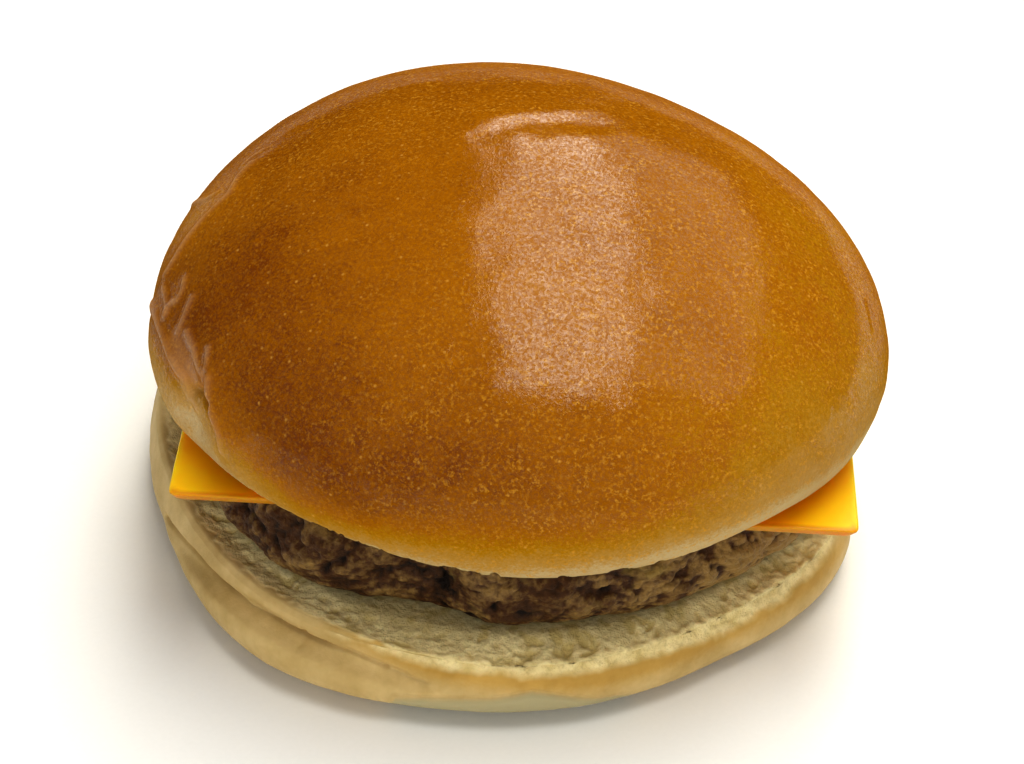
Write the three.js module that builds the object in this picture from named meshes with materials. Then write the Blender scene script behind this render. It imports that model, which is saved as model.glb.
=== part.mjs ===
// A cheeseburger: a soft bun cut in two, with a slice of processed cheese on a beef patty.
// Millimetres, +Z up. The origin is on the bun's axis, on the face that the burger rests on.
// Bearings are degrees anticlockwise from +X, so the front, where the patty shows, is at 270.
import * as THREE from "three";

// Driving dimensions
const CLEARANCE = 0.3; // between pieces that lie on each other

const LOWER_BUN = {
  centreX: -2.8,
  centreY: 2.2,
  radius: 50.2, // at its widest ring
  widestHeight: 4.5,
  footRadius: 40.8, // of the flat face that it rests on
  height: 11, // of the cut face
  narrowing: 0.03, // share by which the cut face is smaller than the widest ring
  crustRound: 0.7, // radius of the crust's turn into the cut face
  crumbDip: 0.5, // depth of the dips in the open crumb
  plan: [
    [2, -0.004, -0.03],
    [3, 0.026, 0.0144],
    [4, -0.0106, -0.0123],
    [6, -0.0033, -0.0036],
    [7, -0.0057, -0.0058],
  ],
};

// A fold in the lower bun's side, at the front left: the upper roll lies back on a fuller lower roll.
const FOLD = {
  bearing: 236, // of its middle
  reach: 40, // degrees that it runs to each side
  height: 8, // of the crease above the foot
  fall: 2.6, // by which the crease drops at its ends
  setBack: 2.1, // of the upper roll
  depth: 0.9, // of the crease itself
  width: 1.1,
};

const PATTY = {
  radius: 41.9,
  bulge: 0.7, // of its middle
  edgeRound: 1.6, // by which its top and bottom edges draw in
  lumpSize: 6.5, // of the coarse-ground meat
  lumpDepth: 2.4,
  plan: [
    [3, 0.008, -0.006],
    [5, -0.006, 0.007],
  ],
  hollow: { bearing: 253, reach: 17, depth: 3.2 }, // where a piece has broken off the edge
  spreads: [
    { bearing: 334, reach: 26, depth: -1.9 },
    { bearing: 215, reach: 26, depth: -1.3 },
  ],
};

const CHEESE = {
  side: 88,
  thickness: 1.5,
  centreX: 1.5,
  centreY: 10.3, // the slice sits towards the back, so its front edge shows only at the corners
  turn: -1.1, // degrees about Z
  cornerPower: 90, // of the superellipse that rounds the corners
  undercut: 0.7, // by which the cut edge slants in below
  supportRadius: 46, // past this the slice hangs over the patty
  sag: 7e-5, // growth of its slope with the cube of the overhang
};

const UPPER_BUN = {
  radius: 49, // at its widest ring
  widestHeight: 32,
  peakHeight: 59.1,
  squash: 1.9, // power of the dome's superellipse, 2 being round
  rimShare: 0.918, // the rim's radius over the widest one
  lean: 0.063, // share by which the back of the dome is higher
  plan: [
    [2, 0.0101, -0.0256],
    [3, 0.0089, -0.0166],
    [4, -0.0017, 0.0063],
  ],
};

// Where the upper bun's cut face hangs past the cheese, it droops.
const DROOPS = [
  { bearing: 270, reach: 42, depth: 2.2 },
  { bearing: 188, reach: 26, depth: 3 },
  { bearing: 0, reach: 20, depth: 1.2 },
];
const DROOP_START = 0.4; // distance past the cheese's edge
const DROOP_END = 4.5;

// Where the rim curls up off the cheese.
const CURLS = [
  { bearing: 216, reach: 20, height: 0.5 },
  { bearing: 315, reach: 22, height: 1 },
  { bearing: 340, reach: 10, height: 1.8 },
];
const CURL_START = 0.84; // share of the rim's radius

// Broad folds of the upper bun's crust: [bearing, share of the profile], then the height and width in mm.
const CRUST_FOLDS = [
  { path: [[190, 0.33], [196, 0.357], [204, 0.35], [210, 0.31], [214, 0.285]], height: 0.35, width: 2.6 },
  { path: [[195, 0.27], [207, 0.2]], height: 0.55, width: 4 },
  { path: [[212, 0.32], [214, 0.25]], height: -1.2, width: 3.4 },
  { path: [[216, 0.383], [220, 0.335], [223, 0.29], [225, 0.23]], height: 0.7, width: 2.6 },
  { path: [[169, 0.59], [180, 0.568], [184, 0.48], [188, 0.405]], height: 0.5, width: 2.8 },
  { path: [[174, 0.912], [114, 0.932], [53, 0.843]], height: 0.25, width: 3 },
];

// Heights of the stack, worked up from the foot
const PATTY_BASE = LOWER_BUN.height + CLEARANCE;
const CHEESE_BASE = 23;
const PATTY_TOP = CHEESE_BASE - CLEARANCE;
const CHEESE_TOP = CHEESE_BASE + CHEESE.thickness;
const UPPER_BUN_BED = CHEESE_TOP + CLEARANCE;

// Helpers

const radians = THREE.MathUtils.degToRad;
const degrees = THREE.MathUtils.radToDeg;
const smoothstep = THREE.MathUtils.smoothstep;
const lerp = THREE.MathUtils.lerp;

// 1 in the middle of a swelling and 0 past its reach, by bearing.
function swelling(bearing, middle, reach) {
  const away = THREE.MathUtils.euclideanModulo(bearing - middle + 180, 360) - 180;
  return Math.abs(away) < reach ? Math.cos((away / reach) * (Math.PI / 2)) ** 2 : 0;
}

// The factor that makes a round outline uneven: 1 plus a few slow waves.
function planFactor(bearing, waves) {
  const angle = radians(bearing);
  return waves.reduce((sum, [n, c, s]) => sum + c * Math.cos(n * angle) + s * Math.sin(n * angle), 1);
}

// A fixed random number from 0 to 1 for each cell of a lattice.
function cellRandom(i, j, k, seed) {
  let hash = Math.imul(i, 374761393) ^ Math.imul(j, 668265263) ^ Math.imul(k, 1442695041);
  hash ^= Math.imul(seed, 362437);
  hash = Math.imul(hash ^ (hash >>> 13), 1274126177);
  hash = Math.imul(hash ^ (hash >>> 15), 1103515245);
  return ((hash ^ (hash >>> 16)) >>> 0) / 4294967295;
}

// Rounded lumps of about one unit: 1 at a lump's middle, falling to 0 in the clefts between lumps.
function lumps(x, y, z, seed) {
  const [ci, cj, ck] = [Math.floor(x), Math.floor(y), Math.floor(z)];
  let nearest = Infinity;
  for (let i = ci - 1; i <= ci + 1; i++) {
    for (let j = cj - 1; j <= cj + 1; j++) {
      for (let k = ck - 1; k <= ck + 1; k++) {
        const dx = i + cellRandom(i, j, k, seed) - x;
        const dy = j + cellRandom(i, j, k, seed + 1) - y;
        const dz = k + cellRandom(i, j, k, seed + 2) - z;
        nearest = Math.min(nearest, dx * dx + dy * dy + dz * dz);
      }
    }
  }
  return Math.max(0, 1 - nearest);
}

// A closed body turned about a vertical axis. Its rings run from the axis below to the axis above,
// and place(bearing, ring) gives the point where each ring really passes at each bearing.
function turnedBody(rings, segments, place) {
  const axis = place(0, rings[0]);
  const section = rings.map((ring) => {
    const point = place(0, ring);
    return new THREE.Vector2(point.x - axis.x, point.z);
  });
  const lathe = new THREE.LatheGeometry(section, segments);
  const position = lathe.getAttribute("position");
  for (let i = 0; i < position.count; i++) {
    const step = Math.floor(i / rings.length);
    const bearing = (step * 360) / segments - 90;
    const point = place(bearing, rings[i % rings.length]);
    position.setXYZ(i, point.x, point.y, point.z);
  }
  lathe.computeVertexNormals();
  return lathe;
}

// Evenly spaced rings of one zone of a profile, share running from one value to another.
function ringsOf(zone, count, from, to) {
  return Array.from({ length: count }, (_, i) => ({ zone, share: lerp(from, to, i / (count - 1)) }));
}

function atRadius(radius, bearing, height, centreX = 0, centreY = 0) {
  const angle = radians(bearing);
  return new THREE.Vector3(centreX + radius * Math.cos(angle), centreY + radius * Math.sin(angle), height);
}

// Upper bun

// How far a point lies outside the square of the cheese slice.
function pastCheese(x, y) {
  const turn = radians(-CHEESE.turn);
  const [dx, dy] = [x - CHEESE.centreX, y - CHEESE.centreY];
  const across = Math.abs(dx * Math.cos(turn) - dy * Math.sin(turn));
  const along = Math.abs(dx * Math.sin(turn) + dy * Math.cos(turn));
  return Math.max(across, along) - CHEESE.side / 2;
}

// Height of the upper bun's cut face: flat on the cheese, drooping past it and curling up at the rim.
function cutFaceHeight(x, y) {
  const bearing = degrees(Math.atan2(y, x));
  const rim = UPPER_BUN.radius * UPPER_BUN.rimShare * planFactor(bearing, UPPER_BUN.plan);
  const droop = DROOPS.reduce((sum, d) => sum + d.depth * swelling(bearing, d.bearing, d.reach), 0);
  const curl = CURLS.reduce((sum, d) => sum + d.height * swelling(bearing, d.bearing, d.reach), 0);
  const height = UPPER_BUN_BED - droop * smoothstep(pastCheese(x, y), DROOP_START, DROOP_END);
  return height + curl * smoothstep(Math.hypot(x, y) / rim, CURL_START, 1);
}

// The crust without its folds. The share runs from 0 at the rim, over the widest ring, to 1 at the peak.
const WIDEST_SHARE = 0.25;
function crust(bearing, share) {
  const widest = UPPER_BUN.radius * planFactor(bearing, UPPER_BUN.plan);
  const rim = widest * UPPER_BUN.rimShare;
  if (share < WIDEST_SHARE) {
    const turn = (share / WIDEST_SHARE) * (Math.PI / 2);
    const edge = atRadius(rim, bearing, 0);
    const rimHeight = cutFaceHeight(edge.x, edge.y);
    const height = lerp(rimHeight, UPPER_BUN.widestHeight, 1 - Math.cos(turn));
    return atRadius(lerp(rim, widest, Math.sin(turn)), bearing, height);
  }
  const turn = ((share - WIDEST_SHARE) / (1 - WIDEST_SHARE)) * (Math.PI / 2);
  const power = 2 / UPPER_BUN.squash;
  const point = atRadius(widest * Math.max(0, Math.cos(turn)) ** power, bearing, UPPER_BUN.widestHeight);
  const rise = (UPPER_BUN.peakHeight - UPPER_BUN.widestHeight) * Math.sin(turn) ** power;
  point.z += rise * (1 + (UPPER_BUN.lean * point.y) / UPPER_BUN.radius);
  return point;
}

// The folds' middle lines, as points on the crust.
const FOLD_LINES = CRUST_FOLDS.map((fold) => ({
  ...fold,
  points: fold.path.map(([bearing, share]) => crust(bearing, share)),
}));

// How far the folds lift the crust at a point.
function foldLift(point) {
  const nearest = new THREE.Vector3();
  let lift = 0;
  for (const { points, height, width } of FOLD_LINES) {
    let distance = Infinity;
    for (let i = 1; i < points.length; i++) {
      new THREE.Line3(points[i - 1], points[i]).closestPointToPoint(point, true, nearest);
      distance = Math.min(distance, nearest.distanceTo(point));
    }
    lift += height * Math.exp(-((distance / width) ** 2));
  }
  return lift;
}

function upperBun() {
  const middle = new THREE.Vector3(0, 0, UPPER_BUN.widestHeight);
  // The cut face's rings close in on the cheese's outline, so that none cuts across its edge.
  const place = (bearing, { zone, share }) => {
    if (zone === "crust") {
      const point = crust(bearing, share);
      const lift = foldLift(point) * smoothstep(share, 0, 0.08);
      return point.add(point.clone().sub(middle).normalize().multiplyScalar(lift));
    }
    const rim = Math.hypot(crust(bearing, 0).x, crust(bearing, 0).y);
    const bed = Math.min(rim * 0.985, bedRadius(bearing));
    const radius = share <= 1 ? bed * share : lerp(bed, rim, share - 1);
    const flat = atRadius(radius, bearing, 0);
    return atRadius(radius, bearing, cutFaceHeight(flat.x, flat.y));
  };
  const rings = [
    ...ringsOf("face", 3, 0, 1),
    ...ringsOf("face", 3, 1.25, 1.75),
    ...ringsOf("crust", 7, 0, WIDEST_SHARE),
    ...ringsOf("crust", 14, WIDEST_SHARE + 0.055, 1),
  ];
  return turnedBody(rings, 80, place);
}

// Distance from the axis to the edge of the flat bed that lies on the cheese, found by halving.
function bedRadius(bearing) {
  let [inside, outside] = [0, UPPER_BUN.radius];
  for (let i = 0; i < 24; i++) {
    const middle = (inside + outside) / 2;
    const point = atRadius(middle, bearing, 0);
    if (pastCheese(point.x, point.y) < DROOP_START) inside = middle;
    else outside = middle;
  }
  return inside;
}

// Cheese slice

// Slope and fall of the slice where it hangs over, kept at its true length along the bend.
function hang(overhang) {
  const steps = 10;
  let [run, fall] = [0, 0];
  for (let i = 0; i < steps; i++) {
    const slope = CHEESE.sag * ((overhang * (i + 0.5)) / steps) ** 3;
    run += (Math.cos(slope) * overhang) / steps;
    fall += (Math.sin(slope) * overhang) / steps;
  }
  return { run, fall };
}

function cheeseSlice() {
  const cells = 14;
  const half = CHEESE.side / 2;
  const slice = new THREE.BoxGeometry(CHEESE.side, CHEESE.side, CHEESE.thickness, cells, cells, 1);
  const position = slice.getAttribute("position");
  for (let i = 0; i < position.count; i++) {
    const [u, v] = [position.getX(i) / half, position.getY(i) / half];
    const below = position.getZ(i) < 0;
    const p = CHEESE.cornerPower;
    const square = Math.max(Math.abs(u), Math.abs(v));
    const rounding = square > 0 ? square / (Math.abs(u) ** p + Math.abs(v) ** p) ** (1 / p) : 1;
    const reach = rounding * (half - (below ? CHEESE.undercut * square ** p : 0));
    const turn = radians(CHEESE.turn);
    const x = CHEESE.centreX + reach * (u * Math.cos(turn) - v * Math.sin(turn));
    const y = CHEESE.centreY + reach * (u * Math.sin(turn) + v * Math.cos(turn));
    const radius = Math.hypot(x, y);
    const { run, fall } = hang(Math.max(0, radius - CHEESE.supportRadius));
    const pull = radius > CHEESE.supportRadius ? (CHEESE.supportRadius + run) / radius : 1;
    position.setXYZ(i, x * pull, y * pull, (below ? CHEESE_BASE : CHEESE_TOP) - fall);
  }
  slice.computeVertexNormals();
  return slice;
}

// Beef patty

function pattyRadius(bearing) {
  const dents = [PATTY.hollow, ...PATTY.spreads];
  const dent = dents.reduce((sum, d) => sum + d.depth * swelling(bearing, d.bearing, d.reach), 0);
  return PATTY.radius * planFactor(bearing, PATTY.plan) - dent;
}

function beefPatty() {
  const place = (bearing, { zone, share }) => {
    const radius = pattyRadius(bearing) - PATTY.edgeRound;
    if (zone === "side") {
      const away = Math.abs(2 * share - 1);
      const height = lerp(PATTY_BASE, PATTY_TOP, share);
      const plain = radius + PATTY.edgeRound * (1 - away ** 3) + PATTY.bulge * (1 - away ** 2);
      const at = atRadius(plain, bearing, height);
      const size = PATTY.lumpSize;
      const lump = lumps(at.x / size, at.y / size, (1.4 * at.z) / size, 5) - 0.6;
      const point = atRadius(plain + PATTY.lumpDepth * lump * (1 - 0.5 * away), bearing, height);
      point.z = Math.min(point.z, cutFaceHeight(point.x, point.y) - CLEARANCE);
      return point;
    }
    const point = atRadius(radius * share, bearing, PATTY_BASE);
    if (zone === "top") point.z = Math.min(PATTY_TOP, cutFaceHeight(point.x, point.y) - CLEARANCE);
    return point;
  };
  const rings = [
    ...ringsOf("base", 3, 0, 0.95),
    ...ringsOf("side", 9, 0, 1),
    ...ringsOf("top", 4, 0.95, 0),
  ];
  return turnedBody(rings, 88, place);
}

// Lower bun

// Height of the crease in the lower bun's side, with an even height where there is no fold.
function creaseHeight(bearing) {
  return FOLD.height - FOLD.fall * (1 - swelling(bearing, FOLD.bearing, FOLD.reach));
}

function lowerBun() {
  const { centreX, centreY, radius, widestHeight, footRadius, height, narrowing, crustRound } = LOWER_BUN;
  const place = (bearing, { zone, share }) => {
    const factor = planFactor(bearing, LOWER_BUN.plan);
    const fold = swelling(bearing, FOLD.bearing, FOLD.reach);
    if (zone === "foot") return atRadius(footRadius * share * factor, bearing, 0, centreX, centreY);
    if (zone === "heel") {
      const turn = share * (Math.PI / 2);
      const r = lerp(footRadius, radius, Math.sin(turn)) * factor;
      return atRadius(r, bearing, widestHeight * (1 - Math.cos(turn)), centreX, centreY);
    }
    if (zone === "side") {
      const crease = creaseHeight(bearing);
      const z = share < 1 ? lerp(widestHeight, crease, share) : lerp(crease, height - crustRound, share - 1);
      const narrow = 1 - narrowing * ((z - widestHeight) / (height - widestHeight)) ** 2;
      const lip = FOLD.setBack * smoothstep(z, crease - FOLD.width, crease + FOLD.width / 2);
      const cut = FOLD.depth * Math.exp(-(((z - crease) / FOLD.width) ** 2));
      return atRadius((radius * narrow - fold * (lip + cut)) * factor, bearing, z, centreX, centreY);
    }
    const edge = (radius * (1 - narrowing) - FOLD.setBack * fold) * factor;
    const r = (edge - crustRound) * share;
    const at = atRadius(r, bearing, height, centreX, centreY);
    const open = smoothstep(Math.hypot(at.x, at.y), PATTY.radius - 1, PATTY.radius + 2);
    const dip = LOWER_BUN.crumbDip * (1 - lumps(at.x / 4, at.y / 4, 0, 11));
    at.z -= share < 1 ? dip * open : 0;
    return at;
  };
  const rings = [
    ...ringsOf("foot", 2, 0, 0.8),
    ...ringsOf("heel", 6, 0, 1),
    ...ringsOf("side", 7, 0.35, 2),
    ...ringsOf("crumb", 4, 1, 0.88),
    ...ringsOf("crumb", 2, 0.6, 0),
  ];
  return turnedBody(rings, 80, place);
}

// The burger

function piece(name, geometry, color, roughness) {
  const material = new THREE.MeshStandardMaterial({ color, roughness, metalness: 0 });
  const mesh = new THREE.Mesh(geometry, material);
  mesh.name = name;
  return mesh;
}

const burger = new THREE.Group();
burger.name = "cheeseburger";
burger.add(
  piece("bun_bottom", lowerBun(), 0xc9a667, 0.8),
  piece("beef_patty", beefPatty(), 0x5f4730, 0.75),
  piece("cheese_slice", cheeseSlice(), 0xf0a80c, 0.4),
  piece("bun_top", upperBun(), 0xa5640f, 0.35),
);

export default burger;
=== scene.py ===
"""A cheeseburger: a glazed bun cut in two, with a slice of processed cheese on a ground beef patty.

Every piece repeats the form of the solid that it stands for, in much finer steps, and adds what is
too fine for the solid: wrinkles in the crust, open crumb, coarse meat and the soft edges of the cheese.
Shapes are worked out in millimetres, +Z up. Bearings are degrees anticlockwise from +X, so the front,
where the patty shows, is at 270.
"""
import functools
import itertools
import math
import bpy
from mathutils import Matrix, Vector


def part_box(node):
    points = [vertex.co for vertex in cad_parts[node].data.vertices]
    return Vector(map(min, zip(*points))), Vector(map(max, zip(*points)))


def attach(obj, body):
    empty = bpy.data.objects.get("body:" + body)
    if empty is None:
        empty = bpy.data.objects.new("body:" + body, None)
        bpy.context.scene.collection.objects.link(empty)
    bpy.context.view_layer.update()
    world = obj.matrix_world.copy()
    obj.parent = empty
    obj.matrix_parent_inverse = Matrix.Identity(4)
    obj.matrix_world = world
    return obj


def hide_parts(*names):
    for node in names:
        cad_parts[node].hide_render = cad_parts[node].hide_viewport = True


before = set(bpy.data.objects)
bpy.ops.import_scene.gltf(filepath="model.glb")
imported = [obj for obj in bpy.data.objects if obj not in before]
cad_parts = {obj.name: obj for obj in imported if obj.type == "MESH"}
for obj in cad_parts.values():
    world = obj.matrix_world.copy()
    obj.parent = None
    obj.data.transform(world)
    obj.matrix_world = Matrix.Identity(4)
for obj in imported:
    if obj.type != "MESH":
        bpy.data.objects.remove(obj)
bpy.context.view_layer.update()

from types import SimpleNamespace

import bpy
import numpy as np
from mathutils import Matrix

bl_info = {
    "name": "Cheeseburger",
    "version": (1, 0, 0),
    "blender": (4, 5, 0),
    "location": "3D View > Sidebar > Burger",
    "description": "Builds a cheeseburger over its solid model, with its floor, lights and camera",
    "category": "Add Mesh",
}

MM = 0.001
PIECE_BODY = "root"
QUARTER = math.pi / 2

# The burger's sizes, in millimetres, the same as in the solid model
CLEARANCE = 0.3

LOWER_BUN = SimpleNamespace(
    centre=(-2.8, 2.2), radius=50.2, widest_height=4.5, foot_radius=40.8, height=11, narrowing=0.03,
    crust_round=0.7, crumb_dip=0.5,
    plan=[(2, -0.004, -0.03), (3, 0.026, 0.0144), (4, -0.0106, -0.0123), (6, -0.0033, -0.0036),
          (7, -0.0057, -0.0058)])
FOLD = SimpleNamespace(bearing=236, reach=40, height=8, fall=2.6, set_back=2.1, depth=0.9, width=1.1)
PATTY = SimpleNamespace(
    radius=41.9, bulge=0.7, edge_round=1.6, lump_size=6.5, lump_depth=2.4,
    plan=[(3, 0.008, -0.006), (5, -0.006, 0.007)],
    dents=[(253, 17, 3.2), (334, 26, -1.9), (215, 26, -1.3)])
CHEESE = SimpleNamespace(
    side=88, thickness=1.5, centre=(1.5, 10.3), turn=-1.1, corner_power=90, undercut=0.7,
    support_radius=46, sag=7e-5)
UPPER_BUN = SimpleNamespace(
    radius=49, widest_height=32, peak_height=59.1, squash=1.9, rim_share=0.918, lean=0.063,
    plan=[(2, 0.0101, -0.0256), (3, 0.0089, -0.0166), (4, -0.0017, 0.0063)])
# Where the cut face droops past the cheese, and where its rim curls up: bearing, reach, depth or height
DROOPS = [(270, 42, 2.2), (188, 26, 3), (0, 20, 1.2)]
DROOP_START = 0.4
DROOP_END = 4.5
CURLS = [(216, 20, 0.5), (315, 22, 1), (340, 10, 1.8)]
CURL_START = 0.84
WIDEST_SHARE = 0.25

PATTY_BASE = LOWER_BUN.height + CLEARANCE
CHEESE_BASE = 23
PATTY_TOP = CHEESE_BASE - CLEARANCE
CHEESE_TOP = CHEESE_BASE + CHEESE.thickness
UPPER_BUN_BED = CHEESE_TOP + CLEARANCE

# Broad folds of the upper crust: a path of (bearing, share of the profile), then height and width
CRUST_FOLDS = [
    ([(190, 0.33), (196, 0.357), (204, 0.35), (210, 0.31), (214, 0.285)], 0.35, 2.6),
    ([(195, 0.27), (207, 0.2)], 0.55, 4),
    ([(212, 0.32), (214, 0.25)], -1.2, 3.4),
    ([(216, 0.383), (220, 0.335), (223, 0.29), (225, 0.23)], 0.7, 2.6),
    ([(169, 0.59), (180, 0.568), (184, 0.48), (188, 0.405)], 0.5, 2.8),
    ([(174, 0.912), (114, 0.932), (53, 0.843)], 0.25, 3),
]
# Wrinkles too fine for the solid model, where the glaze puckered as the bun cooled
WRINKLES = [
    ([(188, 0.325), (194, 0.35), (201, 0.352), (205, 0.345), (209, 0.33), (211, 0.307), (214, 0.288)],
     0.3, 0.74),
    ([(188, 0.308), (195, 0.33), (203, 0.33), (208, 0.308)], -0.2, 0.67),
    ([(194, 0.455), (196, 0.445), (197, 0.422), (196, 0.403), (197, 0.383)], 0.28, 0.59),
    ([(190, 0.393), (194, 0.393), (197, 0.385)], 0.22, 0.52),
    ([(200, 0.458), (202, 0.425), (203, 0.398)], 0.28, 0.59),
    ([(205, 0.413), (209, 0.403), (212, 0.375), (213, 0.378)], 0.25, 0.59),
    ([(212, 0.43), (214, 0.403), (214, 0.383)], 0.25, 0.52),
    ([(212, 0.318), (215, 0.345), (218, 0.34)], -0.6, 0.67),
    ([(216, 0.39), (217, 0.37), (218, 0.348), (220, 0.323), (222, 0.297), (223, 0.253)], 0.35, 0.67),
    ([(214.5, 0.385), (215.6, 0.36), (217, 0.335), (219, 0.312), (221, 0.285)], -0.35, 0.59),
    ([(168, 0.588), (172, 0.57), (178, 0.565), (181, 0.517), (184, 0.48), (186, 0.448), (188, 0.408)],
     0.3, 0.67),
    ([(162, 0.585), (164, 0.565), (166, 0.557)], 0.22, 0.59),
    ([(173, 0.515), (172, 0.482), (166, 0.408)], 0.28, 0.67),
    ([(196, 0.633), (200, 0.598)], 0.2, 0.59),
    ([(182, 0.672), (184, 0.662)], 0.18, 0.59),
    ([(164, 0.935), (130, 0.948), (82, 0.94), (54, 0.91), (34, 0.87)], -0.2, 2.2),
    ([(135, 0.718), (128, 0.745), (121, 0.765)], 0.2, 0.59),
    ([(327, 0.43), (328, 0.4), (330, 0.372), (330, 0.34)], 0.16, 0.44),
    ([(325, 0.385), (324, 0.365)], 0.14, 0.37),
    ([(351, 0.432), (346, 0.395)], 0.18, 0.52),
]
# The flat between the two strongest wrinkles, where a painted highlight is laid
RIDGE_HIGHLIGHT_FACET = ([(204, 0.378), (209, 0.36), (213, 0.34)], 0.75, 1.6)
# How brown the oven left the upper crust, by share from the rim, at 0, up to the peak
BROWNING = [(0, -0.05), (0.05, -0.02), (0.1, 0.05), (0.15, 0.2), (0.2, 0.44), (0.25, 0.64), (0.3, 0.74),
            (0.4, 0.8), (1, 0.74)]
# Patches that are browner or paler than that: bearing, share, reach in millimetres, amount. The two darker
# patches low at the front left, at bearings 238 and 255, are painted shade
BROWNING_AND_SHADE_PATCHES = [
    (226, 0.44, 17, 0.08), (208, 0.52, 17, 0.12), (255, 0.3, 18, 0.09), (238, 0.15, 11, 0.13),
    (335, 0.44, 24, -0.13), (10, 0.45, 22, -0.14), (214, 0.3, 4.5, -0.22), (312, 0.16, 17, -0.24),
    (305, 0.3, 14, -0.08), (220, 0.33, 8, -0.1), (332, 0.12, 13, -0.24), (176, 0.45, 10, -0.22),
    (158, 0.55, 12, 0.1), (255, 0.65, 14, -0.09),
]
# Where the wash lies thinnest, in the same form
THIN_WASH = (255, 0.9, 12, 0.3)

# Creases in the side of the lower bun: a path of (bearing, height), then height and width
SIDE_CREASES = [
    ([(200, 5.6), (204, 6.2), (214, 7.7), (223, 7.9), (231, 7.8), (240, 8.2), (246, 8.4)], -0.8, 0.36),
    ([(246, 8.4), (251, 8.3), (256, 7.6)], -0.62, 0.34),
    ([(256, 7.6), (259, 7.1), (262, 6.4)], -0.4, 0.42),
    ([(242, 8.9), (242.4, 8), (242, 7.1)], -0.35, 0.4),
    ([(250, 8.9), (255, 8.3), (259, 7.6)], -0.25, 0.35),
    ([(258, 4.3), (262, 4.6), (272, 5.2), (278, 6.2), (283, 5.1), (294, 2.6)], -0.5, 0.5),
]
# Where the crust ends and the crumb begins on the lower bun's side: bearing, height
CRUMB_EDGE = [(238, 11.4), (250, 10.3), (262, 9.2), (276, 8.7), (295, 8.1), (312, 7.5), (326, 8), (340, 9.6),
              (355, 11.4)]
# The browned band round the front of the lower bun: bearing, height of its middle
GOLD_BAND = [(240, 11.5), (252, 10.7), (264, 9.1), (276, 8.2), (288, 7.4), (300, 7.6), (312, 7.7), (360, 7.8)]
# Upper edge of the tuck under the front of the lower bun, which is drawn greyer as painted shade: bearing,
# height
TUCK_SHADE_EDGE = [(255, 0), (258, 4), (262, 4.6), (272, 5.2), (278, 6.2), (283, 5.1), (294, 2.6), (297, 0)]

# The stage, in metres and degrees
FLOOR_HALF = 3.0
FLOOR_DROP = 0.1 * MM
PANEL_HEIGHT = 1.0
MAIN_PANEL = ((-0.085, 0.33), (-0.385, 1.75))  # its reach in x and in y
RIGHT_PANEL = ((0.345, 1.02), (-0.24, 2.5))
FRONT_CARD = SimpleNamespace(size=(2.4, 0.8), place=(-0.5, -1.3, 0.5), tilt=70)
CAMERA = SimpleNamespace(place=(-0.00015, -0.31321, 0.24413), dip=35.5, roll=2.48, sensor=36, nearest=0.01)


# Shapes

def smoothstep(value, low, high):
    share = np.clip((value - low) / (high - low), 0, 1)
    return share * share * (3 - 2 * share)


def mix(start, end, share):
    return start + (end - start) * share


def falloff(distance, reach):
    """1 at no distance, falling off smoothly over the reach."""
    return np.exp(-(distance / reach) ** 2)


def swelling(bearing, middle, reach):
    """1 in the middle of a swelling and 0 past its reach, by bearing."""
    away = (bearing - middle + 180) % 360 - 180
    return np.where(np.abs(away) < reach, np.cos(away / reach * QUARTER) ** 2, 0.0)


def plan_factor(bearing, waves):
    """The factor that makes a round outline uneven: 1 plus a few slow waves."""
    angle = np.radians(bearing)
    return 1 + sum(c * np.cos(n * angle) + s * np.sin(n * angle) for n, c, s in waves)


def cell_random(cell, seed):
    """A fixed random number from 0 to 1 for each cell of a lattice."""
    i, j, k = np.moveaxis(cell.astype(np.int64).astype(np.uint32), -1, 0)
    blend = (i * np.uint32(374761393)) ^ (j * np.uint32(668265263)) ^ (k * np.uint32(1442695041))
    blend = blend ^ np.uint32(seed * 362437)
    blend = (blend ^ (blend >> np.uint32(13))) * np.uint32(1274126177)
    blend = (blend ^ (blend >> np.uint32(15))) * np.uint32(1103515245)
    return (blend ^ (blend >> np.uint32(16))) / 4294967295


def lumps(points, seed):
    """Rounded lumps of about one unit: 1 at a lump's middle, falling to 0 in the clefts between."""
    here = np.floor(points)
    nearest = np.full(points.shape[:-1], np.inf)
    for step in itertools.product((-1, 0, 1), repeat=3):
        cell = here + step
        gap = [cell[..., axis] + cell_random(cell, seed + axis) - points[..., axis] for axis in range(3)]
        nearest = np.minimum(nearest, gap[0] ** 2 + gap[1] ** 2 + gap[2] ** 2)
    return np.maximum(0, 1 - nearest)


def wander(points, seed):
    """Smooth noise of about one unit, from -1 to 1."""
    here = np.floor(points)
    share = smoothstep(points - here, 0, 1)
    total = np.zeros(points.shape[:-1])
    for step in itertools.product((0, 1), repeat=3):
        weight = np.where(step, share, 1 - share).prod(axis=-1)
        total += weight * cell_random(here + step, seed)
    return 2 * total - 1


def flat(points):
    """The same points at no height, for patterns that don't change with it."""
    return points * (1, 1, 0)


def at_radius(radius, bearing, height, centre=(0, 0)):
    angle = np.radians(bearing)
    parts = (centre[0] + radius * np.cos(angle), centre[1] + radius * np.sin(angle), height)
    return np.stack(np.broadcast_arrays(*parts), axis=-1)


def distance_to_path(points, path):
    """Distance of each point from a line through the path."""
    nearest = np.full(points.shape[:-1], np.inf)
    for start, end in zip(path[:-1], path[1:]):
        along = end - start
        share = np.clip(((points - start) @ along) / (along @ along), 0, 1)
        gap = points - start - share[..., None] * along
        nearest = np.minimum(nearest, (gap * gap).sum(-1))
    return np.sqrt(nearest)


def fold_lift(points, folds, surface):
    """How far folds lift a surface at each point. A fold is a path on the surface, a height and a width."""
    lift = np.zeros(points.shape[:-1])
    for path, height, width in folds:
        line = np.array([surface(*stop) for stop in path])
        lift += height * falloff(distance_to_path(points, line), width)
    return lift


def steps(*runs):
    """Values from runs of (start, end, count), each run without its end but the last with it."""
    parts = [np.linspace(start, end, count, endpoint=False) for start, end, count in runs]
    return np.append(np.concatenate(parts), runs[-1][1])


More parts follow.
